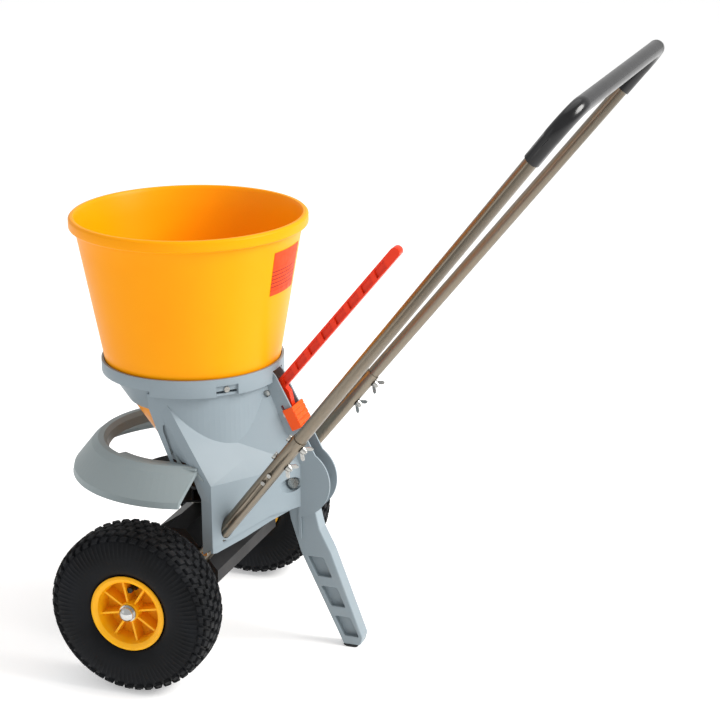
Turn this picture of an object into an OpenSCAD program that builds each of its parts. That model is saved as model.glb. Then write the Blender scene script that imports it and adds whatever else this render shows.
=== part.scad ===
// Walk-behind broadcast spreader with a round hopper, two tyred wheels and a
// ground-driven spinner. +X is the rear (handle side), +Y the right-hand side.
// The layout is drawn about the point on the floor below the axle; place()
// then moves it so that the origin is below the middle of the whole machine.

/* [Hopper] */
// Outer radius of the rolled hopper rim
rim_r = 183; // [170:1:200]
// Height of the hopper rim above the floor
rim_z = 683; // [650:1:760]
// Hopper wall thickness
hopper_t = 3; // [2.4:0.2:4]

/* [Wheels] */
// Tyre outer diameter
tyre_d = 260; // [240:2:280]
// Tyre width
tyre_w = 86; // [70:2:90]
// Distance between the middle planes of the two wheels
track = 466; // [452:2:500]
// Number of ribs on each wheel centre
wheel_ribs = 8; // [5:1:10]

/* [Handle] */
// Length of the handle from the axle socket to the cross bar, along its slope
handle_len = 1005; // [900:5:1150]
// Outside diameter of the lower tubes
tube_d = 22.5; // [20:0.5:25]
// Outside diameter of the upper tube
upper_d = 20; // [17:0.5:20]

/* [Frame] */
// Wall thickness of the frame mouldings
wall = 3.5; // [2.5:0.5:4]
// Width of the slot between the two rear cheeks
slot_w = 29; // [27:1:32]

/* [Drive] */
// Axle diameter
axle_d = 16; // [12:1:18]
// Spinner disc radius
disc_r = 108; // [90:1:110]
// Number of vanes on the spinner disc
vanes = 4; // [3:1:8]
// Teeth on the bevel pinion
pinion_teeth = 10; // [8:1:12]

/* [Stand and lever] */
// Width of the stand leg
leg_w = 26; // [20:1:26]
// Length of the lever from its bend to its tip
lever_len = 300; // [220:5:330]
// Width of the lever
lever_w = 17; // [12:1:20]

/* [Hidden] */
$fn = 96;
run = 0.05;
gap = 0.4;
axle_z = tyre_d / 2;
wheel_y = track / 2;
slope = 51.45;
splay = 9.48;
tube_x = 37.1;
tube_y = 108.3;
tube_z = axle_z + 12.9;
bend_r = 40;
grip_r = 12;
x_max = tube_x + cos(slope) * handle_len + grip_r;
skirt_r = 194;
x_min = -skirt_r;
x_mid = (x_min + x_max) / 2;
tyre_r = tyre_d / 2;
rim_out = 59.5;
axle_r = axle_d / 2;
seat_z = 452;
cone_top_r = 136;
crown_teeth = 4 * pinion_teeth;
pivot_x = 160;
pivot_z = 378;
leg_x = 173;
leg_z = 270;
cheek_r = 58;
cheek_y = slot_w / 2;

amber = [0.97, 0.72, 0.02];
grey = [0.63, 0.68, 0.72];
dark = [0.08, 0.08, 0.09];
red = [0.9, 0.16, 0.05];
steel = [0.75, 0.74, 0.7];

module place() { translate([-x_mid, 0, 0]) children(); }
module both() { children(); mirror([0, 1, 0]) children(); }
module rod_y(r, y0, y1) { translate([0, y0, 0]) rotate([-90, 0, 0]) cylinder(h = y1 - y0, r = r); }
// A plate drawn in X and Z and thickened along Y
module plate_y(y0, y1) {
    translate([0, y1, 0]) rotate([90, 0, 0]) linear_extrude(y1 - y0) children();
}
// A plane tilted like the handle: X runs up the slope, Y across, Z out of it
module on_handle() { translate([tube_x, 0, tube_z]) rotate([0, -slope, 0]) children(); }

// ---- hopper ----
function taper(z) = cone_top_r + (z - seat_z) * (rim_r - 6 - cone_top_r) / (rim_z - seat_z);
module hopper() {
    color(amber) place() rotate_extrude() polygon([
        [32, 288], [cone_top_r, seat_z], [taper(rim_z - 20), rim_z - 20],
        [rim_r - 2, rim_z - 18], [rim_r, rim_z - 16], [rim_r, rim_z - 3],
        [rim_r - 3, rim_z], [rim_r - 8, rim_z], [taper(rim_z - 8) - hopper_t, rim_z - 6],
        [cone_top_r - hopper_t, seat_z + 1], [32 - hopper_t, 289.4], [32 - hopper_t, 288]]);
}
module hopper_label() {
    color(red) place() rotate([0, 0, -18]) rotate_extrude(angle = 27) polygon([
        [taper(575) + 0.2, 575], [taper(644) + 0.2, 644],
        [taper(644) + 0.6, 644], [taper(575) + 0.6, 575]]);
}

// ---- ring that seats the hopper on the frame ----
module hopper_ring() {
    color(grey) place() difference() {
        union() {
            rotate_extrude() polygon([[99.2, 393], [102, 393], [125.4, 430], [131, 436.6], [139, 437], [142, 438],
                [142, 457], [138.5, 457], [137.6, 452], [136.8, 452]]);
            difference() {
                rotate_extrude() polygon([[125, 429.4], [142, 429.4], [142, 440], [138, 440], [138, 433],
                    [129, 433], [129, 435]]);
                translate([-160, -160, 400]) cube([150, 320, 60]);
                translate([100, -cheek_y - 5, 400]) cube([60, slot_w + 10, 60]);
            }
        }
        for (s = [-1, 1]) rotate([0, 0, s * 45]) translate([137, -18, 425]) cube([8, 36, 21]);
        translate([118, -cheek_y - 4, 400]) cube([60, slot_w + 8, 47]);
        for (a = [45, -45]) rotate([0, 0, a]) translate([120, 0, 439]) rotate([0, 90, 0]) cylinder(h = 30, r = 2.1);
    }
}
module ring_screws() {
    color(steel) place() for (a = [45, -45]) rotate([0, 0, a]) translate([0, 0, 439]) rotate([0, 90, 0]) {
        translate([0, 0, 137.1]) cylinder(h = 2.4, r = 4.5);
        translate([0, 0, 131]) cylinder(h = 6.2, r = 2);
    }
}

// ---- frame: two mirrored half shells ----
// Plan of the faceted body at three heights, drawn for wall inset d
module plan_top(d) { polygon([[-22 - d * 6, -124 + d], [0 - d * 0.4, -126 + d], [78 - d, -19], [92 - d, 0],
    [78 - d, 19], [0 - d * 0.4, 126 - d], [-22 - d * 6, 124 - d]]); }
module plan_mid(d) { polygon([[24 - d * 6, -121 + d], [90 - d * 0.6, -150 + d * 1.15], [183 - d * 1.2, -19],
    [183 - d * 1.2, 19], [90 - d * 0.6, 150 - d * 1.15], [24 - d * 6, 121 - d]]); }
module plan_low(d) { polygon([[35 - d * 6, -120 + d], [90 - d * 0.6, -150 + d * 1.15], [183 - d * 1.2, -19],
    [183 - d * 1.2, 19], [90 - d * 0.6, 150 - d * 1.15], [35 - d * 6, 120 - d]]); }
module facet_body(d, low) {
    hull() {
        translate([0, 0, 433 - d]) linear_extrude(1) plan_top(d);
        translate([0, 0, 299 - d]) linear_extrude(1) plan_mid(d);
        translate([0, 0, 272]) linear_extrude(1) plan_low(d);
    }
    translate([0, 0, low]) linear_extrude(273 - low) plan_low(d);
}
// Raised spine that carries the cheeks up to the ring
module spine_body(d) {
    hull() both() {
        translate([100 - d, -80 + d, 349 - d]) cube([1, 1, 1]);
        translate([126 - d, -30 + d, 402 - d]) cube([1, 1, 1]);
        translate([126 - d, -cheek_y - 4 + d, 429 - d]) cube([1, 1, 1]);
        translate([163 - d, -cheek_y - 4 + d, 336]) cube([1, 1, 1]);
        translate([181 - d * 1.2, -cheek_y - 4 + d, 300]) cube([1, 1, 1]);
        translate([90 - d, -60, 300 - d]) cube([1, 1, 1]);
    }
}
module cheek_outline() {
    difference() {
        union() {
            polygon([[121, 400], [124, 434], [138, 446], [144, 440], [169, 392], [196, 339], [213, 306],
                [218, 301], [leg_x + 30, leg_z], [150, 250], [150, 300], [110, 350]]);
            translate([leg_x, leg_z]) circle(r = cheek_r);
        }
        translate([100, 200]) square([49, 84]);
        translate([157, 387]) rotate(27) square([4, 13], center = true);
    }
}
module frame_half() {
    difference() {
        union() {
            facet_body(0, 176);
            translate([0, 0, 300]) cylinder(h = 129, r = 130);
            spine_body(0);
            plate_y(-cheek_y - 3.5, 0) cheek_outline();
        }
        // hollow inside
        facet_body(wall, 150);
        translate([0, 0, 280]) cylinder(h = 160, r = 130 - wall);
        spine_body(wall);
        // slot between the cheeks
        translate([60, -cheek_y, 150]) cube([240, slot_w, 350]);
        // open front, cut along the sloping front edge
        plate_y(-200, 200) polygon([[-150, 150], [35, 150], [35, 274], [-18, 405], [-22, 440], [-150, 440]]);
        // lower edge
        plate_y(-200, -cheek_y - 3.6) polygon([[20, 140], [20, 194], [70, 183], [92, 200], [121, 214], [150, 228],
            [200, 232], [240, 140]]);
        // round recess over the stand pivot
        translate([leg_x, 0, leg_z]) rod_y(12, -90, -cheek_y - 3.5);
        translate([leg_x, 0, leg_z]) rod_y(5.1, -90, 10);
        translate([pivot_x, 0, pivot_z]) rod_y(4.05, -60, 10);
        // groove for the lower tube
        tube_groove(45);
        // the right half is a separate moulding
        translate([-200, 0, 100]) cube([500, 300, 400]);
        // screw holes
        translate([131, 0, 411]) rod_y(2.1, -40, 10);
        translate([131, 0, 411]) rod_y(5.5, -40, -cheek_y - 3.5);
        translate([89, -140, 192]) rotate([90, 0, 40]) cylinder(h = 40, r = 2.1, center = true);
    }
    // cup round the stand bolt, between the panel and the cheek
    difference() {
        intersection() {
            facet_body(0.2, 176);
            translate([leg_x, 0, leg_z]) rod_y(15, -60, -cheek_y - 1);
        }
        translate([leg_x, 0, leg_z]) rod_y(12, -90, -cheek_y - 3.5);
        translate([leg_x, 0, leg_z]) rod_y(5.1, -90, 10);
    }
    // recessed lip below the side panel
    difference() {
        translate([0, 0, 176]) linear_extrude(80) polygon([[84, -144.5], [88, -144], [176, -21], [176, -18],
            [172, -18], [84, -141]]);
        plate_y(-200, 0) polygon([[60, 150], [60, 190], [92, 188], [121, 201], [150, 218], [175, 229],
            [200, 229], [200, 150]]);
        plate_y(-200, 0) polygon([[60, 300], [60, 216], [92, 214], [121, 226], [150, 240], [200, 244], [200, 300]]);
        tube_groove(1);
    }
}
// Space for the lower tube where it dips into the frame behind the ridge, open to the rear
module tube_groove(deep) {
    on_handle() translate([0, -tube_y, 0]) rotate([0, 0, -splay]) {
        translate([-30, 0, 0]) rotate([0, 90, 0]) cylinder(h = 230, r = tube_d / 2 + gap);
        translate([-30, -tube_d / 2 - gap, -deep]) cube([125, tube_d + 2 * gap, deep]);
    }
}
module frame_left() { color(grey) place() frame_half(); }
module frame_right() { color(grey) place() mirror([0, 1, 0]) frame_half(); }
module frame_screws() {
    color(steel) place() both() {
        translate([131, 0, 411]) {
            rod_y(4.5, -cheek_y - 5.8, -cheek_y - 3.6);
            rod_y(2, -cheek_y - 3.7, -cheek_y + 1);
        }
    }
}

// ---- deflector skirt ----
module wall_slab(y0, y1) {
    translate([0, -126.2, 434]) rotate([6.1, 0, -23.8]) plate_y(y0, y1) children();
}
module wall_plate(t) { wall_slab(-t, 0) children(); }
module skirt_half() {
    difference() {
        union() {
            rotate([0, 0, 180]) rotate_extrude(angle = 128) polygon([[137, 305], [139.5, 304], [142, 318],
                [146, 321.5], [151, 321.5], [160, 315], [188, 279], [191, 272], [194, 272.5], [192, 282],
                [163, 318], [153, 326], [144, 326], [138.5, 319]]);
            translate([0, 0, 321.6]) linear_extrude(3) polygon([[-60, -101], [70, -146], [70, -149],
                [20, -149], [-20, -147], [-60, -134], [-78, -124]]);
        }
        translate([0, 0, 200]) linear_extrude(200) polygon([[46, -200], [66, -146], [80, -60], [260, -60], [260, -260]]);
        wall_slab(-0.3, 90) translate([-25, -200]) square([240, 260]);
        translate([0, -0.5, 0]) facet_body(0, 176);
        translate([0, 0, 299]) cylinder(h = 131, r = 130.3);
        translate([0, 0, 250]) linear_extrude(52) polygon([[24, -122], [92, -152], [92, -90], [24, -90]]);
    }
    difference() {
        wall_slab(-3.3, -0.3) polygon([[-60, -114], [-17, -49], [12, -49], [80, -128]]);
        translate([0, -0.5, 0]) facet_body(0, 176);
        translate([0, 0, 299]) cylinder(h = 131, r = 130.3);
        for (p = [[-10, -60], [12, -96]]) wall_plate(30) translate(p) circle(r = 2.1);
    }
}
module deflector_skirt() { color(grey) place() both() skirt_half(); }
module skirt_screws() {
    color(steel) place() both() for (p = [[-10, -60], [12, -96]])
        translate([0, -126.2, 434]) rotate([6.1, 0, -23.8]) translate([p[0], 0, p[1]]) {
            rod_y(4.5, -5.6, -3.4);
            rod_y(2, -3.5, 5);
        }
}

// ---- outlet and dosing gate ----
module outlet_plate() {
    color(dark) place() difference() {
        union() {
            translate([0, 0, 283]) cylinder(h = 4.8, r = 44);
            both() translate([-30, -34, 277]) cube([100, 5, 7]);
            translate([0, 0, 283]) linear_extrude(4.8) polygon([[36, -121.2], [54, -129],
                [54, 129], [36, 121.2]]);
            translate([20, -34, 283]) cube([34, 68, 4.8]);
        }
        translate([0, 0, 280]) cylinder(h = 12, r = 9);
        for (a = [90, 210, 330]) rotate([0, 0, a]) translate([19, 0, 280]) cylinder(h = 12, r = 7);
        for (a = [45, 135, 225, 315]) rotate([0, 0, a]) translate([38.5, 0, 280]) cylinder(h = 12, r = 1.6);
    }
}
module outlet_screws() {
    color(steel) place() for (a = [45, 135, 225, 315]) rotate([0, 0, a]) translate([38.5, 0, 0]) {
        translate([0, 0, 287.9]) cylinder(h = 2, r = 3);
        translate([0, 0, 284]) cylinder(h = 4, r = 1.5);
    }
}
module dosing_gate() {
    color(steel) place() difference() {
        translate([-32, -28, 280]) cube([100, 56, 2.4]);
        translate([-12, -10, 270]) cube([60, 20, 20]);
        for (a = [90, 210, 330]) rotate([0, 0, a]) translate([19, 0, 270]) cylinder(h = 20, r = 7.5);
        translate([60, 0, 270]) cylinder(h = 20, r = 2.1);
    }
}
module gate_link() {
    color(steel) place() {
        difference() {
            translate([52, -6, 276.8]) cube([80, 12, 3]);
            translate([60, 0, 270]) cylinder(h = 20, r = 2.1);
        }
        translate([60, 0, 274]) cylinder(h = 8, r = 2);
        difference() {
            translate([125, -6, 276.8]) cube([21, 3.8, 36]);
            plate_y(-20, 0) translate([131.8, 286]) square([8.4, 23]);
        }
    }
}

// ---- spinner ----
module spinner_disc() {
    color(dark) place() difference() {
        union() {
            translate([0, 0, 250]) cylinder(h = 3, r = disc_r);
            translate([0, 0, 246]) cylinder(h = 18, r = 15);
            for (i = [0:vanes - 1]) rotate([0, 0, i * 360 / vanes + 20]) translate([14, -1.5, 252]) cube([disc_r - 17, 3, 15]);
        }
        translate([0, 0, 240]) cylinder(h = 40, r = 6 + run);
    }
}
module disc_clamp_nut() {
    color(steel) place() difference() {
        translate([0, 0, 264.2]) cylinder(h = 8, r = 10, $fn = 6);
        translate([0, 0, 260]) cylinder(h = 20, r = 6 + run);
    }
}
module spinner_shaft() {
    color(steel) place() {
        translate([0, 0, axle_z + 34]) cylinder(h = 320 - axle_z - 34, r = 6);
    }
}
module agitator() {
    color(steel) place() difference() {
        union() {
            translate([0, 0, 293]) cylinder(h = 24, r = 9);
            for (a = [30, 210]) rotate([0, 0, a]) translate([0, 0, 303]) rotate([0, 60, 0]) cylinder(h = 32, r = 2.5);
            for (a = [120, 300]) rotate([0, 0, a]) translate([0, 0, 298]) rotate([0, 80, 0]) cylinder(h = 22, r = 2.5);
        }
        translate([0, 0, 280]) cylinder(h = 60, r = 6 + run);
    }
}
module shaft_bush_upper() {
    color([0.9, 0.88, 0.8]) place() difference() {
        union() {
            translate([0, 0, 283.2]) cylinder(h = 8, r = 8.95);
            translate([0, 0, 287.9]) cylinder(h = 2, r = 11.5);
        }
        translate([0, 0, 280]) cylinder(h = 20, r = 6 + run);
    }
}
module shaft_bush_lower() {
    color([0.9, 0.88, 0.8]) place() difference() {
        union() {
            translate([0, 0, axle_z + 66]) cylinder(h = 20, r = 9.95);
            translate([0, 0, axle_z + 82.1]) cylinder(h = 4, r = 14);
        }
        translate([0, 0, axle_z + 50]) cylinder(h = 50, r = 6 + run);
    }
}

// ---- right-angle drive: pinion above the axle, face gear on it ----
module drive_pinion() {
    color(steel) place() difference() {
        union() {
            translate([0, 0, axle_z + 41]) cylinder(h = 21, r = 9);
            for (i = [0:pinion_teeth - 1]) rotate([0, 0, 90 + i * 360 / pinion_teeth])
                translate([0, 0, axle_z + 41]) linear_extrude(7) polygon([[8, -1.3], [13.6, -0.75], [13.6, 0.75], [8, 1.3]]);
        }
        translate([0, 0, axle_z]) cylinder(h = 100, r = 6 + run);
    }
}
module crown_gear() {
    color(steel) place() difference() {
        union() {
            translate([0, 0, axle_z]) rod_y(50, 16.5, 21);
            translate([0, 0, axle_z]) rod_y(18, 20, 36);
            for (i = [0:crown_teeth - 1]) translate([0, 0, axle_z]) rotate([0, (i + 0.5) * 360 / crown_teeth, 0])
                plate_y(11, 17) polygon([[-0.91, 40.5], [0.91, 40.5], [1.1, 48.5], [-1.1, 48.5]]);
        }
        translate([0, 0, axle_z]) rod_y(axle_r + run, -60, 80);
    }
}

// ---- gear case and axle carrier, two halves split down the middle ----
module case_profile(d) {
    translate([0, axle_z]) circle(r = 62 - d);
    polygon([[-50 + d, axle_z + 20], [-40 + d, axle_z + 55], [0, axle_z + 82 - d], [32, axle_z + 82 - d],
        [84 - d, axle_z + 20], [84 - d, axle_z], [40, axle_z - 40 + d]]);
}
module case_half() {
    difference() {
        union() {
            plate_y(-64, 0) case_profile(0);
            plate_y(-120, -63) polygon([[-34, axle_z - 20], [-34, axle_z + 40], [1, axle_z + 82],
                [32, axle_z + 82], [84, axle_z + 20], [84, axle_z], [20, axle_z - 24]]);
        }
        plate_y(-60, 1) case_profile(4);
        for (y = [-88, -116]) translate([0, y, 0]) plate_y(0, 22) polygon([[-30, axle_z - 60], [-30, axle_z - 13],
            [78, axle_z - 13], [78, axle_z - 60]]);
        translate([0, 0, axle_z]) rod_y(12.05, -130, 10);
        translate([0, 0, axle_z]) cylinder(h = 120, r = 10.05);
        on_handle() translate([0, -tube_y, 0]) rotate([0, 0, -splay]) translate([-3, 0, 0]) rotate([0, 90, 0])
            cylinder(h = 200, r = tube_d / 2 + 0.1);
        translate([68, -110, axle_z + 14]) rod_y(2.1, -20, 20);
        translate([-200, 0, 0]) cube([400, 300, 400]);
    }
}
module gear_case_left() { color(dark) place() case_half(); }
module gear_case_right() { color(dark) place() mirror([0, 1, 0]) case_half(); }
module gear_case_screws() {
    color(steel) place() both() translate([68, 0, axle_z + 14]) {
        rod_y(4.5, -122.4, -120.1);
        rod_y(2, -120.2, -104);
    }
}

// ---- axle and wheels ----
module axle() {
    color(steel) place() translate([0, 0, axle_z]) rod_y(axle_r, -wheel_y - 40, wheel_y + 40);
}
module axle_bushes() {
    color([0.9, 0.88, 0.8]) place() both() translate([0, 0, axle_z]) difference() {
        union() { rod_y(12, -119, -90); rod_y(16, -123, -120.1); }
        rod_y(axle_r + run, -130, -80);
    }
}
module axle_washers() {
    color(steel) place() both() translate([0, 0, axle_z]) difference() {
        union() { rod_y(14, -wheel_y + 38.5, -wheel_y + 40.5); rod_y(11, -wheel_y + 40.5, -124); }
        rod_y(axle_r + run, -wheel_y + 10, -80);
    }
}
module tyre_section() {
    h = tyre_w / 2;
    polygon([[rim_out - 5, -h * 0.62], [rim_out + 2, -h * 0.72], [rim_out + 14, -h * 0.9], [rim_out + 32, -h],
        [tyre_r - 22, -h * 0.97], [tyre_r - 10, -h * 0.86], [tyre_r - 3, -h * 0.66], [tyre_r, -h * 0.42],
        [tyre_r, h * 0.42], [tyre_r - 3, h * 0.66], [tyre_r - 10, h * 0.86], [tyre_r - 22, h * 0.97],
        [rim_out + 32, h], [rim_out + 14, h * 0.9], [rim_out + 2, h * 0.72], [rim_out - 5, h * 0.62],
        [rim_out - 3, h * 0.5], [rim_out + 12, h * 0.72], [tyre_r - 16, h * 0.74], [tyre_r - 12, h * 0.4],
        [tyre_r - 12, -h * 0.4], [tyre_r - 16, -h * 0.74], [rim_out + 12, -h * 0.72], [rim_out - 3, -h * 0.5]]);
}
module tyre() {
    translate([0, -wheel_y, axle_z]) rotate([90, 0, 0]) difference() {
        rotate_extrude() tyre_section();
    }
}
module tyre_left() { color(dark) place() tyre(); }
module tyre_right() { color(dark) place() mirror([0, 1, 0]) tyre(); }
module wheel_centre() {
    h = tyre_w / 2;
    translate([0, -wheel_y, axle_z]) rotate([90, 0, 0]) difference() {
        union() {
            // rim barrel with both flanges
            rotate_extrude() polygon([[rim_out - 10, -h * 0.46], [rim_out - 5.2, -h * 0.5], [rim_out - 5.2, -h * 0.7],
                [rim_out, -h * 0.78], [rim_out, -h * 0.82], [rim_out - 4, -h * 0.86], [rim_out - 10, -h * 0.78],
                [rim_out - 13, -h * 0.5], [rim_out - 13, h * 0.5], [rim_out - 10, h * 0.78],
                [rim_out - 4, h * 0.86], [rim_out, h * 0.82], [rim_out, h * 0.78], [rim_out - 5.2, h * 0.7],
                [rim_out - 5.2, h * 0.5], [rim_out - 10, h * 0.46]]);
            translate([0, 0, -3]) cylinder(h = 6, r = rim_out - 12);
            translate([0, 0, -h * 0.88]) cylinder(h = h * 1.6, r = 15);
            for (i = [0:wheel_ribs - 1]) rotate(i * 360 / wheel_ribs + 12) translate([12, -1.6, -h * 0.6])
                cube([rim_out - 24, 3.2, h * 1.2]);
        }
        cylinder(h = 200, r = axle_r + run, center = true);
        rotate(12 + 360 / wheel_ribs * 1.75) translate([32, 0, 0]) cylinder(h = 20, r = 6.5, center = true);
    }
}
module rim_left() { color(amber) place() wheel_centre(); }
module rim_right() { color(amber) place() mirror([0, 1, 0]) wheel_centre(); }
module valve() {
    translate([0, -wheel_y, axle_z]) rotate([90, 0, 0]) rotate(12 + 360 / wheel_ribs * 1.75) translate([32, 0, 0]) {
        translate([0, 0, -2]) cylinder(h = 22, r = 3.2);
        translate([0, 0, 12]) cylinder(h = 10, r = 4.2);
        translate([0, 0, 3.1]) cylinder(h = 2, r = 6.2);
    }
}
module valve_left() { color(dark) place() valve(); }
module valve_right() { color(dark) place() mirror([0, 1, 0]) valve(); }
module hub_nuts() {
    color(steel) place() both() translate([0, 0, axle_z]) difference() {
        union() {
            rod_y(13, -wheel_y - 33.8, -wheel_y - 31.3);
            rod_y(11, -wheel_y - 40, -wheel_y - 33);
            intersection() {
                translate([0, -wheel_y - 33, 0]) sphere(r = 13);
                rod_y(20, -wheel_y - 46, -wheel_y - 39);
            }
        }
        rod_y(axle_r, -wheel_y - 40, -wheel_y);
    }
}

// ---- handle ----
module lower_tube() {
    on_handle() translate([0, -tube_y, 0]) rotate([0, 0, -splay]) difference() {
        rotate([0, 90, 0]) cylinder(h = 330, r = tube_d / 2);
        translate([-1, 0, 0]) rotate([0, 90, 0]) cylinder(h = 340, r = upper_d / 2 + run);
        for (s = [276, 319]) translate([s, 0, 0]) cylinder(h = 40, r = 3.1, center = true);
        for (s = [231, 249]) translate([s, 0, 0]) rotate([90, 0, 0]) cylinder(h = 40, r = 2.05);
        translate([52, 0, 0]) rotate([90, 0, 0]) cylinder(h = 40, r = 2.05);
    }
}
module lower_tube_left() { color(steel) place() lower_tube(); }
module lower_tube_right() { color(steel) place() mirror([0, 1, 0]) lower_tube(); }
// The bent bow, drawn as a round bar of radius r from s0 up the left side and back down;
// the bends are e larger so that the straight ends seat inside them
bow_k = tan(splay);
corner_y = tube_y + bow_k * handle_len;
bend_turn = 90 + splay;
bend_t = bend_r * tan(bend_turn / 2);
lap = 0.5;
module bow(r, s0, e) {
    len = (handle_len - s0) / cos(splay) - bend_t;
    both() translate([s0, -tube_y - bow_k * s0, 0]) rotate([0, 0, -splay]) rotate([0, 90, 0]) cylinder(h = len + lap, r = r);
    both() translate([handle_len - bend_r, -corner_y + bend_t, 0]) rotate([0, 0, -bend_turn])
        rotate_extrude(angle = bend_turn) translate([bend_r, 0]) circle(r = r + e);
    translate([handle_len, -corner_y + bend_t - lap, 0]) rotate([-90, 0, 0])
        cylinder(h = 2 * (corner_y - bend_t + lap), r = r);
}
module handle_tube() {
    color(steel) place() on_handle() difference() {
        bow(upper_d / 2, 250, 0.03);
        bow(upper_d / 2 - 1.5, 240, -0.03);
        both() for (s = [272.2, 314.6]) translate([s, -tube_y - bow_k * s, 0]) cylinder(h = 40, r = 3.1, center = true);
    }
}
module grip_sleeve() {
    color([0.03, 0.03, 0.03]) place() on_handle() difference() {
        bow(grip_r, 915, 0.15);
        bow(upper_d / 2 + 0.22, 905, -0.16);
    }
}
module tube_bolts() {
    color(steel) place() on_handle() both() for (s = [272.2, 314.6]) translate([s, -tube_y - bow_k * s, 0]) {
        translate([0, 0, -tube_d / 2 - 9]) cylinder(h = tube_d + 9.5, r = 3);
        translate([0, 0, tube_d / 2 + 0.2]) cylinder(h = 4, r = 6);
    }
}
module wing_nuts() {
    color(steel) place() on_handle() both() for (s = [272.2, 314.6]) translate([s, -tube_y - bow_k * s, -tube_d / 2 - 0.2]) mirror([0, 0, 1])
        difference() {
            union() {
                cylinder(h = 7, r1 = 6.5, r2 = 5);
                for (a = [0, 180]) rotate([0, 0, a]) rotate([90, 0, 0]) linear_extrude(2.4, center = true)
                    polygon([[4, 1], [7, 2], [13, 8], [13.5, 12], [11, 13], [8, 11], [4, 6]]);
            }
            translate([0, 0, -1]) cylinder(h = 30, r = 3);
        }
}
module tube_rivets() {
    color(steel) place() on_handle() both() translate([0, -tube_y, 0]) rotate([0, 0, -splay])
        for (s = [231, 249]) translate([s, 0, 0]) rotate([90, 0, 0]) {
            translate([0, 0, upper_d / 2 - 1]) cylinder(h = 3, r = 2);
            translate([0, 0, tube_d / 2 + 0.1]) cylinder(h = 1.4, r = 3.4);
        }
}
module tube_screws() {
    color(steel) place() on_handle() both() translate([0, -tube_y, 0]) rotate([0, 0, -splay])
        translate([52, 0, 0]) rotate([90, 0, 0]) {
            translate([0, 0, upper_d / 2 - 4]) cylinder(h = 6, r = 2);
            translate([0, 0, tube_d / 2 + 0.1]) cylinder(h = 3, r = 5);
        }
}

// ---- dosing lever and stop ----
module dosing_lever() {
    w = lever_w / 2;
    color(red) place() difference() {
        union() {
            // short arm through the pivot down to the gate
            plate_y(-1.5, 6) polygon([[pivot_x - 9, pivot_z - 2], [pivot_x - 18, pivot_z + 36], [pivot_x - 8, pivot_z + 46],
                [pivot_x + 2, pivot_z + 34], [pivot_x + 9, pivot_z + 2], [pivot_x - 18, pivot_z - 90], [pivot_x - 30, pivot_z - 90]]);
            plate_y(-6, 6) polygon([[pivot_x - 9, pivot_z - 2], [pivot_x - 18, pivot_z + 36], [pivot_x - 8, pivot_z + 46],
                [pivot_x + 2, pivot_z + 34], [pivot_x + 9, pivot_z + 2]]);
            translate([pivot_x, 0, pivot_z]) rod_y(9, -12, 12);
            // long arm
            translate([pivot_x - 14, 0, pivot_z + 41]) rotate([0, -50.6, 0]) difference() {
                union() {
                    translate([-6, -w, -8]) cube([lever_len + 2, 2 * w, 16]);
                    translate([lever_len - 4, 0, 0]) rod_y(8, -w, w);
                }
                // pockets between diagonal ribs on both faces
                for (s = [0:7]) for (f = [-1, 1]) translate([s * (lever_len - 30) / 8 + 12, f * (w - 1.5), 0])
                    plate_y(-2.5, 2.5) polygon([[-2, -5.5], [22, -5.5], [27, 5.5], [3, 5.5]]);
            }
            // pin that drives the gate link
            translate([pivot_x - 24, 0, pivot_z - 86]) rod_y(3, -9, 4);
        }
        translate([pivot_x, 0, pivot_z]) rod_y(4 + run, -20, 20);
    }
}
module lever_pin() {
    color(steel) place() translate([pivot_x, 0, pivot_z]) {
        rod_y(4, -cheek_y - 3.4, cheek_y + 3.4);
    }
}
module stop_block() {
    color([0.98, 0.35, 0.04]) place() translate([169, 0, 392]) rotate([0, 63, 0]) difference() {
        translate([0, -22, -14]) cube([35, 44, 18]);
        translate([-5, -cheek_y - 3.9, -20]) cube([50, 3.9 + 3.5, 20.4]);
        translate([-5, cheek_y - 3.5, -20]) cube([50, 3.9 + 3.5, 20.4]);
        translate([-5, -cheek_y + 1, -20]) cube([50, slot_w - 2, 20.4]);
        for (s = [6, 14, 22, 30]) translate([s, -30, 3.2]) cube([2, 60, 2]);
    }
}

// ---- folding stand ----
module leg_outline() {
    polygon([[leg_x - 19, leg_z], [leg_x - 18, leg_z - 20], [163, 205], [180, 151], [246, 12], [250, 3],
        [257, 0], [268, 0], [278, 6], [281, 18], [230, 156], [212, 192], [205, 222], [leg_x + 19, leg_z]]);
    translate([leg_x, leg_z]) circle(r = 19.5);
}
module stand_leg() {
    w = leg_w / 2;
    color(grey) place() difference() {
        plate_y(-w, w) leg_outline();
        // three pockets in each side
        for (f = [-1, 1]) for (k = [0:2]) translate([201 + k * 22, f * (w - 4), 130 - k * 48]) plate_y(-6, 6)
            polygon([[-10, 16], [16, 16], [30, -16], [6, -16]]);
        translate([leg_x, 0, leg_z]) rod_y(5 + run, -30, 30);
        translate([240, -30, -10]) cube([60, 60, 13.9]);
    }
}
module leg_sole() {
    color(dark) place() difference() {
        plate_y(-leg_w / 2, leg_w / 2) polygon([[250, 2.2], [255, 0], [268, 0], [272, 1.2], [274, 3.7], [249, 3.7]]);
    }
}
module leg_bolt() {
    color(steel) place() translate([leg_x, 0, leg_z]) {
        rod_y(5, -cheek_y - 9, cheek_y + 9);
        rod_y(8.5, -cheek_y - 10, -cheek_y - 3.6);
        difference() {
            rod_y(8.5, cheek_y + 3.6, cheek_y + 10);
        }
    }
}
module cheek_screws() {
    color(steel) place() translate([150, 0, 236]) {
        rod_y(3, -cheek_y - 3.4, cheek_y + 3.4);
    }
}

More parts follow.
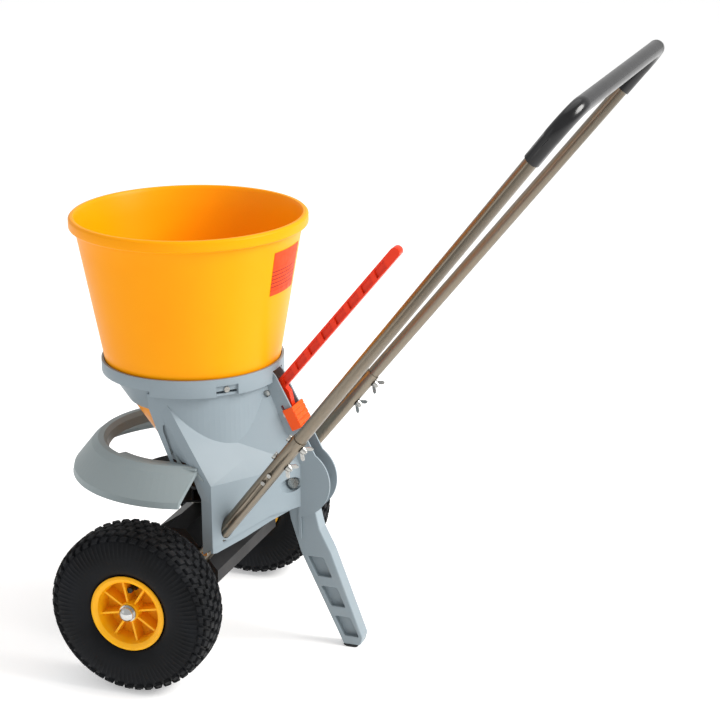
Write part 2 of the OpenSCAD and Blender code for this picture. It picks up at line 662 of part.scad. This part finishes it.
hopper();
hopper_label();
hopper_ring();
ring_screws();
frame_left();
frame_right();
frame_screws();
deflector_skirt();
skirt_screws();
outlet_plate();
outlet_screws();
dosing_gate();
gate_link();
spinner_disc();
spinner_shaft();
disc_clamp_nut();
agitator();
shaft_bush_upper();
shaft_bush_lower();
drive_pinion();
crown_gear();
gear_case_left();
gear_case_right();
gear_case_screws();
axle();
axle_bushes();
tyre_left();
tyre_right();
rim_left();
rim_right();
valve_left();
valve_right();
hub_nuts();
axle_washers();
lower_tube_left();
lower_tube_right();
handle_tube();
grip_sleeve();
tube_bolts();
wing_nuts();
tube_rivets();
tube_screws();
dosing_lever();
lever_pin();
stop_block();
stand_leg();
leg_bolt();
cheek_screws();
leg_sole();
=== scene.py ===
import bpy, bmesh, math
from mathutils import Matrix, Vector


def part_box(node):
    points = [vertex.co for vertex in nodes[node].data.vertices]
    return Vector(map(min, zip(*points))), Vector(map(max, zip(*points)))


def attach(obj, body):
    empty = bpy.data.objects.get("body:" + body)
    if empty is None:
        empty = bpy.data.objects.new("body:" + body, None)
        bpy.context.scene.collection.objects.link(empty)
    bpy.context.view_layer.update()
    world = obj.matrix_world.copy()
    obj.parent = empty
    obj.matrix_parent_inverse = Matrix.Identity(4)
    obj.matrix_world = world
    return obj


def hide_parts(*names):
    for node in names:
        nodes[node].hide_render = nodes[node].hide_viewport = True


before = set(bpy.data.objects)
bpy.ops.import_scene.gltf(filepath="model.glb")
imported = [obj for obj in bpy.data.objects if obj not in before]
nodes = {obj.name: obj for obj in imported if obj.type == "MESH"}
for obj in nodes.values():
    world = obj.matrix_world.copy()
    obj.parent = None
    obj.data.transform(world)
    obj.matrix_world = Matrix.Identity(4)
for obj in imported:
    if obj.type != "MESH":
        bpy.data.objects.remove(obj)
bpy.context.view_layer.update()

axleLow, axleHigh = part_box("axle")
axleX = (axleLow[0] + axleHigh[0]) / 2  # everything is laid out from the axle, in mm
print("frame loaded, axle at x =", round(axleX, 4))


def at(x, y, z):
    return Vector((x / 1000 + axleX, y / 1000, z / 1000))


# ---- shader arithmetic ----
class Sig:
    def __init__(self, kit, sock):
        self.kit, self.sock = kit, sock

    def math(self, op, *rest):
        return self.kit.add("ShaderNodeMath", {"operation": op}, [self, *rest])[0]

    def __add__(self, o): return self.math("ADD", o)
    def __radd__(self, o): return self.math("ADD", o)
    def __sub__(self, o): return self.math("SUBTRACT", o)
    def __rsub__(self, o): return self.kit.add("ShaderNodeMath", {"operation": "SUBTRACT"}, [o, self])[0]
    def __mul__(self, o): return self.math("MULTIPLY", o)
    def __rmul__(self, o): return self.math("MULTIPLY", o)
    def __truediv__(self, o): return self.math("DIVIDE", o)
    def __rtruediv__(self, o): return self.kit.add("ShaderNodeMath", {"operation": "DIVIDE"}, [o, self])[0]
    def __pow__(self, o): return self.math("POWER", o)
    def __abs__(self): return self.math("ABSOLUTE")

    def band(self, low, high, a=0.0, b=1.0):  # smooth step from a to b between low and high
        return self.kit.add("ShaderNodeMapRange", {"interpolation_type": "SMOOTHSTEP", "clamp": True},
                            {"Value": self, "From Min": low, "From Max": high, "To Min": a, "To Max": b})[0]


class Made:
    def __init__(self, kit, node):
        self.kit, self.node = kit, node

    def __getitem__(self, key):
        return Sig(self.kit, self.node.outputs[key])


class Finish:
    def __init__(self, name):
        self.mat = bpy.data.materials.new(name)
        self.mat.use_nodes = True
        self.tree = self.mat.node_tree
        self.shader = next(n for n in self.tree.nodes if n.type == "BSDF_PRINCIPLED")
        self.place = self.add("ShaderNodeTexCoord")["Object"]

    def add(self, kind, settings=None, ins=None):
        node = self.tree.nodes.new(kind)
        for key, value in (settings or {}).items():
            setattr(node, key, value)
        pairs = enumerate(ins) if isinstance(ins, (list, tuple)) else (ins or {}).items()
        for key, value in pairs:
            self.feed(node.inputs[key], value)
        return Made(self, node)

    def feed(self, sock, value):
        if isinstance(value, Sig):
            self.tree.links.new(value.sock, sock)
        elif sock.type == "RGBA" and len(value) == 3:
            sock.default_value = (*value, 1)
        else:
            sock.default_value = value

    def noise(self, scale, detail=3, rough=0.55, where=None, warp=0.0):
        return self.add("ShaderNodeTexNoise", {}, {"Vector": where or self.place, "Scale": scale, "Detail": detail,
                                                   "Roughness": rough, "Distortion": warp})["Fac"]

    def stretch(self, scale, turn=(0, 0, 0), where=None):
        turned = self.add("ShaderNodeVectorRotate", {"rotation_type": "EULER_XYZ"},
                          {"Vector": where or self.place, "Rotation": turn})["Vector"]
        return self.add("ShaderNodeVectorMath", {"operation": "MULTIPLY"}, [turned, scale])[0]

    def parts(self, vec=None):
        made = self.add("ShaderNodeSeparateXYZ", {}, [vec or self.place])
        return made["X"], made["Y"], made["Z"]

    def tint(self, amount, a, b):
        node = self.add("ShaderNodeMix", {"data_type": "RGBA", "blend_type": "MIX"})
        self.feed(node.node.inputs[0], amount)
        self.feed(node.node.inputs[6], a)
        self.feed(node.node.inputs[7], b)
        return Sig(self, node.node.outputs[2])

    def bump(self, height, strength, depth):
        return self.add("ShaderNodeBump", {}, {"Height": height, "Strength": strength, "Distance": depth})["Normal"]

    def done(self, **sockets):
        names = {"colour": "Base Color", "rough": "Roughness", "metal": "Metallic", "normal": "Normal",
                 "coat": "Coat Weight",
                 "coatRough": "Coat Roughness", "ior": "IOR", "aniso": "Anisotropic", "sss": "Subsurface Weight",
                 "sssRadius": "Subsurface Radius", "sssScale": "Subsurface Scale", "spec": "Specular IOR Level",
                 "sheen": "Sheen Weight", "glow": "Emission Color", "glowPower": "Emission Strength"}
        for key, value in sockets.items():
            self.feed(self.shader.inputs[names[key]], value)
        return self.mat


# ---- finishes ----
def mouldedPlastic(name, colour, shade, rough=0.42, grain=0.06, dust=0.15, dustHeight=0.25, sss=0.0):
    f = Finish(name)
    cloud = f.noise(7, 4, 0.6).band(0.3, 0.75)
    fine = f.noise(900, 2, 0.5)
    flow = f.noise(1.0, 5, 0.6, f.stretch((14, 14, 42)), 0.6)
    x, y, z = f.parts()
    low = z.band(0.0, dustHeight, 1.0, 0.0) * f.noise(60, 5, 0.65).band(0.35, 0.75) * dust
    base = f.tint(cloud * 0.5 + flow * 0.35, colour, shade)
    scuff = f.noise(1.0, 6, 0.7, f.stretch((260, 90, 40), (0.3, 0.5, 0.2))).band(0.66, 0.72)
    base = f.tint(scuff * 0.12, base, tuple(min(1, c * 1.25 + 0.03) for c in colour))
    base = f.tint(low, base, (0.30, 0.27, 0.22))
    skin = fine * 0.6 + f.noise(240, 3) * 0.8 + scuff * -0.6
    return f.done(colour=base, rough=rough + cloud * 0.08 + scuff * 0.14 + low * 0.3 - 0.03,
                  normal=f.bump(skin, grain, 0.0006), spec=0.24, sss=sss,
                  sssRadius=(0.012, 0.006, 0.001), sssScale=1.0)


def hopperPlastic():
    f = Finish("hopper amber plastic")
    x, y, z = f.parts()
    rings = f.add("ShaderNodeTexNoise", {"noise_dimensions": "1D"}, {"W": z * 240, "Scale": 1.0, "Detail": 4})["Fac"]
    cloud = f.noise(5, 4, 0.55).band(0.3, 0.75)
    deep = z.band(0.30, 0.46, 1.0, 0.0)  # painted shade: darker amber towards the outlet cone, where the cone lies in shadow
    base = f.tint(cloud * 0.6, (0.93, 0.345, 0.001), (0.90, 0.305, 0.001))
    base = f.tint(deep * 0.75, base, (0.66, 0.20, 0.002))
    scratch = f.noise(1.0, 6, 0.75, f.stretch((30, 30, 420))).band(0.68, 0.74)
    base = f.tint(scratch * 0.10, base, (1.0, 0.66, 0.12))
    skin = rings * 0.35 + f.noise(420, 3) * 0.5
    return f.done(colour=base, rough=0.33 + cloud * 0.07 + scratch * 0.15, normal=f.bump(skin, 0.05, 0.0008), spec=0.10,
                  sss=0.03, sssRadius=(0.03, 0.012, 0.001), sssScale=0.4)


def tubeSteel(name, turn):
    f = Finish(name)
    along = f.stretch((6, 900, 900), turn)
    streak = f.noise(1.0, 4, 0.6, along)
    wide = f.noise(1.0, 3, 0.6, f.stretch((3, 130, 130), turn))
    warm = f.noise(4, 3).band(0.35, 0.7)
    base = f.tint(streak * 0.6, (0.27, 0.235, 0.185), (0.12, 0.104, 0.082))
    base = f.tint(warm * 0.35, base, (0.22, 0.16, 0.10))
    return f.done(colour=base, metal=1.0, rough=0.24 + streak * 0.16 + wide * 0.08,
                  normal=f.bump(streak, 0.08, 0.0003))


def platedSteel(name, colour=(0.42, 0.42, 0.40), rough=0.26):
    f = Finish(name)
    spots = f.noise(240, 4).band(0.45, 0.8)
    base = f.tint(spots * 0.5, colour, tuple(c * 0.72 for c in colour))
    return f.done(colour=base, metal=1.0, rough=rough + spots * 0.2, normal=f.bump(f.noise(700, 2), 0.08, 0.0002))


def tyreRubber():
    f = Finish("tyre rubber")
    x, y, z = f.parts()
    cx, cz = x - axleX, z - 0.13
    reach = (cx * cx + cz * cz) ** 0.5
    tread = reach.band(0.118, 0.129)
    cloud = f.noise(26, 5, 0.6).band(0.3, 0.75)
    bloom = f.noise(9, 4, 0.6).band(0.35, 0.7)
    base = f.tint(cloud * 0.6, (0.003, 0.0033, 0.0038), (0.008, 0.009, 0.011))
    base = f.tint(bloom * 0.35, base, (0.012, 0.014, 0.018))
    base = f.tint(tread * f.noise(130, 5, 0.7).band(0.4, 0.7) * 0.3, base, (0.045, 0.045, 0.045))
    skin = f.noise(520, 4) + f.noise(110, 3) * 0.6
    return f.done(colour=base, rough=0.42 + cloud * 0.14 + tread * 0.14, normal=f.bump(skin, 0.22, 0.0006), spec=0.10)


def softBlack(name, rough=0.2):
    f = Finish(name)
    cloud = f.noise(30, 4).band(0.35, 0.7)
    base = f.tint(cloud, (0.002, 0.002, 0.0024), (0.006, 0.006, 0.007))
    smear = f.noise(1.0, 4, 0.6, f.stretch((20, 60, 20)))
    return f.done(colour=base, rough=rough + smear * 0.14, normal=f.bump(f.noise(160, 3), 0.08, 0.0006), spec=0.4)


def labelFilm():
    f = Finish("label film")
    low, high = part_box("hopper_label")
    x, y, z = f.parts()
    v = (z - low[2]) / (high[2] - low[2])
    rule = f.add("ShaderNodeTexWave", {"wave_type": "BANDS", "bands_direction": "Z"},
                 {"Vector": f.place, "Scale": 52, "Distortion": 0})["Fac"].band(0.78, 0.86)
    inside = v.band(0.10, 0.13) * v.band(0.62, 0.65, 1.0, 0.0)
    worn = f.noise(120, 4).band(0.3, 0.7)
    base = f.tint(worn * 0.4, (0.80, 0.060, 0.008), (0.70, 0.045, 0.007))
    base = f.tint(inside * rule * 0.85, base, (0.10, 0.006, 0.003))
    return f.done(colour=base, rough=0.42 + worn * 0.1, normal=f.bump(f.noise(300, 2), 0.05, 0.0003), spec=0.12)


def nylonPlain():
    return mouldedPlastic("nylon", (0.72, 0.70, 0.62), (0.66, 0.63, 0.55), 0.4, 0.05, 0.05)


slopeTurn = (0, math.radians(51.45), 0)
amber = hopperPlastic()
rimPlastic = mouldedPlastic("wheel centre amber plastic",
                            (0.93, 0.47, 0.004), (0.90, 0.38, 0.003), 0.34, 0.05, 0.10, 0.2, 0.05)
framePlastic = mouldedPlastic("frame grey plastic",
                              (0.250, 0.300, 0.332), (0.228, 0.277, 0.308), 0.44, 0.07, 0.10)
skirtPlastic = mouldedPlastic("skirt grey plastic",
                              (0.262, 0.308, 0.318), (0.242, 0.286, 0.296), 0.46, 0.07, 0.10)
casePlastic = mouldedPlastic("gear case black plastic", (0.006, 0.006, 0.007), (0.012, 0.012, 0.013), 0.5, 0.10, 0.06)
leverPlastic = mouldedPlastic("lever red plastic",
                              (0.74, 0.036, 0.006), (0.66, 0.026, 0.005), 0.33, 0.05, 0.05, 0.1, 0.05)
stopPlastic = mouldedPlastic("stop orange plastic",
                             (0.90, 0.10, 0.006), (0.82, 0.065, 0.005), 0.33, 0.05, 0.05, 0.1, 0.05)
tubeFinish = tubeSteel("stainless tube", slopeTurn)
axleFinish = tubeSteel("bright bar", (0, 0, math.pi / 2))
zinc = platedSteel("zinc plate")
gearFinish = platedSteel("oiled steel", (0.34, 0.33, 0.32), 0.34)
hubFinish = platedSteel("bright hub cap", (0.55, 0.55, 0.54), 0.08)
rubber = tyreRubber()
gripVinyl = softBlack("grip vinyl", 0.14)
valveRubber = softBlack("valve rubber", 0.4)
film = labelFilm()
nylon = nylonPlain()

finishOf = {
    "hopper": amber, "rim_left": rimPlastic, "rim_right": rimPlastic, "hopper_label": film,
    "hopper_ring": framePlastic, "frame_left": framePlastic, "frame_right": framePlastic, "stand_leg": framePlastic,
    "deflector_skirt": skirtPlastic, "gear_case_left": casePlastic, "gear_case_right": casePlastic,
    "outlet_plate": casePlastic, "spinner_disc": casePlastic, "leg_sole": valveRubber,
    "dosing_lever": leverPlastic, "stop_block": stopPlastic, "grip_sleeve": gripVinyl,
    "lower_tube_left": tubeFinish, "lower_tube_right": tubeFinish, "handle_tube": tubeFinish,
    "axle": axleFinish, "spinner_shaft": axleFinish, "dosing_gate": axleFinish, "gate_link": axleFinish,
    "agitator": axleFinish, "drive_pinion": gearFinish, "crown_gear": gearFinish, "hub_nuts": hubFinish,
    "shaft_bush_upper": nylon, "shaft_bush_lower": nylon, "axle_bushes": nylon,
    "valve_left": valveRubber, "valve_right": valveRubber, "tyre_left": rubber, "tyre_right": rubber,
}
softEdges = {  # edge rounding in metres
    "frame_left": 0.0016, "frame_right": 0.0016, "deflector_skirt": 0.0010, "hopper_ring": 0.0010,
    "stand_leg": 0.0018, "dosing_lever": 0.0012, "stop_block": 0.0014, "gear_case_left": 0.0014,
    "gear_case_right": 0.0014, "hopper": 0.0008, "frame_screws": 0.0009, "ring_screws": 0.0008,
    "skirt_screws": 0.0008, "tube_screws": 0.0009, "cheek_screws": 0.0008, "gear_case_screws": 0.0008,
    "tube_bolts": 0.0006, "axle_washers": 0.0004, "valve_left": 0.0008, "valve_right": 0.0008,
    "outlet_plate": 0.0008, "spinner_disc": 0.0006, "leg_sole": 0.0004, "rim_left": 0.0008, "rim_right": 0.0008,
    "wing_nuts": 0.0005, "hub_nuts": 0.0006, "leg_bolt": 0.0008,
}


def dress(name, obj):
    mat = finishOf.get(name, zinc)
    if not obj.material_slots:
        obj.data.materials.append(mat)
    for s in obj.material_slots:
        s.material = mat
    weld = obj.modifiers.new("weld", "WELD")
    weld.merge_threshold = 0.00002
    if name in softEdges:
        bev = obj.modifiers.new("soft edges", "BEVEL")
        bev.width, bev.segments, bev.limit_method = softEdges[name], 2, "ANGLE"
        bev.angle_limit, bev.harden_normals, bev.miter_outer = math.radians(28), False, "MITER_ARC"


for name, obj in nodes.items():
    dress(name, obj)
print("finishes on", len(nodes), "pieces")


# ---- mesh helpers ----
def piece(name, mesh, mat, body, slotName=None, *swaps):
    obj = bpy.data.objects.new(name, mesh)
    bpy.context.scene.collection.objects.link(obj)
    if not obj.data.materials:
        obj.data.materials.append(mat)
    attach(obj, body)
    if swaps:
        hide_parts(*swaps)
    return obj


def finishMesh(bm, name, smoothAngle=35):
    bmesh.ops.recalc_face_normals(bm, faces=bm.faces)
    mesh = bpy.data.meshes.new(name)
    bm.to_mesh(mesh)
    bm.free()
    for p in mesh.polygons:
        p.use_smooth = True
    mesh.set_sharp_from_angle(angle=math.radians(smoothAngle))
    return mesh


# ---- tyres ----
tyre = {"radius": 130.0, "offset": 233, "seat": 54.6, "blocks": 46, "ribs": 92, "blockRise": 4.2, "steps": 368}


def tyreProfile():  # closed section in mm: (radius, offset), outside first
    r = tyre["radius"] - tyre["blockRise"]
    half = [(0, r), (12, r - 0.2), (22, r - 1.2), (29, r - 3.6), (34.5, r - 7.5), (38.2, r - 13), (40.4, r - 20),
            (41.6, r - 28), (42.2, r - 37), (41.8, r - 46), (40.2, r - 54), (37.2, r - 60.5), (33.6, r - 64.5),
            (31.6, 60.0), (29.5, 57.0), (26.6, tyre["seat"])]
    return [(rad, off) for off, rad in half]


def around(centre, radius, across, angle):  # a point on a wheel, radius and across in mm
    return (centre.x + radius / 1000 * math.cos(angle), centre.y + across / 1000,
            centre.z + radius / 1000 * math.sin(angle))


def makeTyre(side):
    bm = bmesh.new()
    prof = tyreProfile()
    full = [(r, -o) for r, o in reversed(prof[1:])] + prof
    n = tyre["steps"]
    centre = at(0, side * tyre["offset"], tyre["radius"])
    rings = []
    for k in range(n):
        a = 2 * math.pi * k / n
        row = []
        for r, o in full:
            fade = max(0.0, min(1.0, (r - 86) / 8)) * max(0.0, min(1.0, (120.5 - r) / 5))
            wave = max(0.0, math.cos(a * tyre["ribs"])) ** 0.7 if fade else 0
            out = 0.9 * fade * wave
            sgn = 1 if o > 0 else -1
            rr, oo = r + out * 0.25, o + sgn * out if abs(o) > 30 else o
            row.append(bm.verts.new(around(centre, rr, oo, a)))
        rings.append(row)
    for k in range(n):
        a, b = rings[k], rings[(k + 1) % n]
        for j in range(len(full) - 1):
            bm.faces.new((a[j], b[j], b[j + 1], a[j + 1]))
    # inner wall closes the casing
    inner = [(tyre["seat"], 26.6), (62, 27), (96, 34), (116, 20), (117, 0),
             (116, -20), (96, -34), (62, -27), (tyre["seat"], -26.6)]
    coarse = []
    for k in range(n):
        a = 2 * math.pi * k / n
        coarse.append([rings[k][-1]] + [bm.verts.new(around(centre, r, o, a)) for r, o in inner[1:-1]] + [rings[k][0]])
    for k in range(n):
        a, b = coarse[k], coarse[(k + 1) % n]
        for j in range(len(inner) - 1):
            bm.faces.new((a[j], b[j], b[j + 1], a[j + 1]))
    # tread blocks, rows staggered by half a pitch
    # each row: offset across, phase, width, length in mm, lean in degrees
    rows = [(0, 0, 11.5, 11.0, 0), (13.2, 0.5, 10.5, 10.5, 4), (-13.2, 0.5, 10.5, 10.5, -4),
            (25.0, 0, 9.5, 10.5, 16), (-25.0, 0, 9.5, 10.5, -16),
            (34.2, 0.5, 7.5, 10.5, 42), (-34.2, 0.5, 7.5, 10.5, -42)]
    pitch = 2 * math.pi / tyre["blocks"]
    for off, phase, wide, length, lean in rows:
        base = tyre["radius"] - tyre["blockRise"]
        rad = {0: base, 13.2: base - 0.3, 25.0: base - 2.0, 34.2: base - 7.4}[abs(off)]
        rise = tyre["blockRise"] if abs(off) < 30 else 4.0
        t = math.radians(lean)
        outN = Vector((math.cos(t), math.sin(t)))  # (radial, across)
        acr = Vector((-math.sin(t), math.cos(t)))
        for k in range(tyre["blocks"]):
            a0 = (k + phase) * pitch
            skew = 0.16 * (1 if off > 0 else -1) if off else 0.0
            loops = []
            for level, grow in ((-1.2, 1.12), (rise * 0.78, 0.98), (rise, 0.84)):
                loop = []
                for sx, sy in ((-1, -1), (1, -1), (1, 1), (-1, 1)):
                    across, along = sy * wide / 2 * grow, sx * length / 2 * grow + sy * skew * wide
                    q = Vector((rad, off)) + outN * level + acr * across
                    ang = a0 + along / tyre["radius"]
                    loop.append(bm.verts.new(around(centre, q[0], q[1], ang)))
                loops.append(loop)
            for lo, hi in zip(loops, loops[1:]):
                for j in range(4):
                    bm.faces.new((lo[j], lo[(j + 1) % 4], hi[(j + 1) % 4], hi[j]))
            bm.faces.new(loops[-1])
            bm.faces.new(loops[0][::-1])
    return finishMesh(bm, "tyre", 30)


for side, label in ((-1, "left"), (1, "right")):
    body = "wheel_left" if side < 0 else "drive"
    piece("treaded_tyre_" + label, makeTyre(side), rubber, body, "tyre", "tyre_" + label)
print("tyres made")

# ---- thin webs over the slit that the side walls have behind their front edge ----
# corners are three points of the wall's outer facet, outline is (x, z) on it, all in mm
web = {"corners": [(-22, -124, 434), (24, -121, 300), (90, -150, 300)],
       "outline": [(-9, 395), (7, 395), (52, 326.5), (16, 326.5)], "deep": 1.2, "proud": 0.06}


def makeWeb(side):
    a, b, c = [Vector(v) for v in web["corners"]]
    out = (b - a).cross(c - a).normalized()
    bm = bmesh.new()
    rows = []
    for lift in (-web["deep"], web["proud"]):
        row = []
        for x, z in web["outline"]:
            y = a.y - (out.x * (x - a.x) + out.z * (z - a.z)) / out.y
            q = Vector((x, y, z)) + out * lift
            row.append(bm.verts.new(at(q.x, -side * q.y, q.z)))
        rows.append(row)
    for j in range(4):
        bm.faces.new((rows[0][j], rows[0][(j + 1) % 4], rows[1][(j + 1) % 4], rows[1][j]))
    bm.faces.new(rows[1])
    bm.faces.new(rows[0][::-1])
    return finishMesh(bm, "front web", 20)


for side, label in ((-1, "left"), (1, "right")):
    piece("front_web_" + label, makeWeb(side), framePlastic, "machine", "grey_plastic")
print("front webs made")

# ---- floor, light and camera ----
studio = {"floor": (0.88, 0.88, 0.88), "glow": 0.36, "world": 0.7, "key": 132, "fill": 5, "top": 12}


def areaLight(name, where, aim, size, power, colour=(1, 1, 1)):
    lamp = bpy.data.lights.new(name, "AREA")
    lamp.shape, lamp.size, lamp.energy, lamp.color = "DISK", size, power, colour
    obj = bpy.data.objects.new(name, lamp)
    bpy.context.scene.collection.objects.link(obj)
    obj.location = where
    obj.rotation_mode = "QUATERNION"
    obj.rotation_quaternion = (aim - where).to_track_quat("-Z", "Y")
    return obj


areaLight("key", at(2900, 200, 2300), at(150, 0, 400), 1.8, studio["key"], (1, 0.985, 0.96))
areaLight("fill", at(-2300, -2200, 1500), at(100, 0, 400), 2.2, studio["fill"], (0.96, 0.98, 1))
areaLight("top", at(200, 600, 3000), at(200, 0, 400), 2.4, studio["top"])
world = bpy.data.worlds.new("studio")
bpy.context.scene.world = world
world.use_nodes = True
sky = world.node_tree.nodes["Background"]
sky.inputs["Color"].default_value = (1, 1, 1, 1)
sky.inputs["Strength"].default_value = studio["world"]

bm = bmesh.new()
bmesh.ops.create_grid(bm, x_segments=8, y_segments=8, size=14)
floorMesh = bpy.data.meshes.new("floor")
bm.to_mesh(floorMesh)
bm.free()
floor = bpy.data.objects.new("floor", floorMesh)
bpy.context.scene.collection.objects.link(floor)
f = Finish("studio floor")
mottle = f.noise(3, 4).band(0.3, 0.7)
floorShade = tuple(c * 0.98 for c in studio["floor"])
floor.data.materials.append(f.done(colour=f.tint(mottle * 0.3, studio["floor"], floorShade), rough=0.8, spec=0.1,
                                   glow=(1, 1, 1), glowPower=studio["glow"]))
floor.location = (0, 0, -0.0002)

lens = {"length": 105.27, "sensor": 36,  # mm
        "eye": (1292.95, -2854.38, 1453.65), "target": (275.8, 0, 473.3), "roll": -0.007}
cameraData = bpy.data.cameras.new("camera")
cameraData.lens, cameraData.sensor_width = lens["length"], lens["sensor"]
cameraData.clip_end = 60
camera = bpy.data.objects.new("camera", cameraData)
bpy.context.scene.collection.objects.link(camera)
bpy.context.scene.camera = camera
eye, target, roll = at(*lens["eye"]), at(*lens["target"]), lens["roll"]
look = (target - eye).normalized()
right = look.cross(Vector((0, 0, 1))).normalized()
up = right.cross(look)
right2 = right * math.cos(roll) + up * math.sin(roll)
up2 = -right * math.sin(roll) + up * math.cos(roll)
camera.matrix_world = Matrix.Translation(eye) @ Matrix((right2, up2, -look)).transposed().to_4x4()
bpy.context.scene.view_settings.view_transform = "Standard"
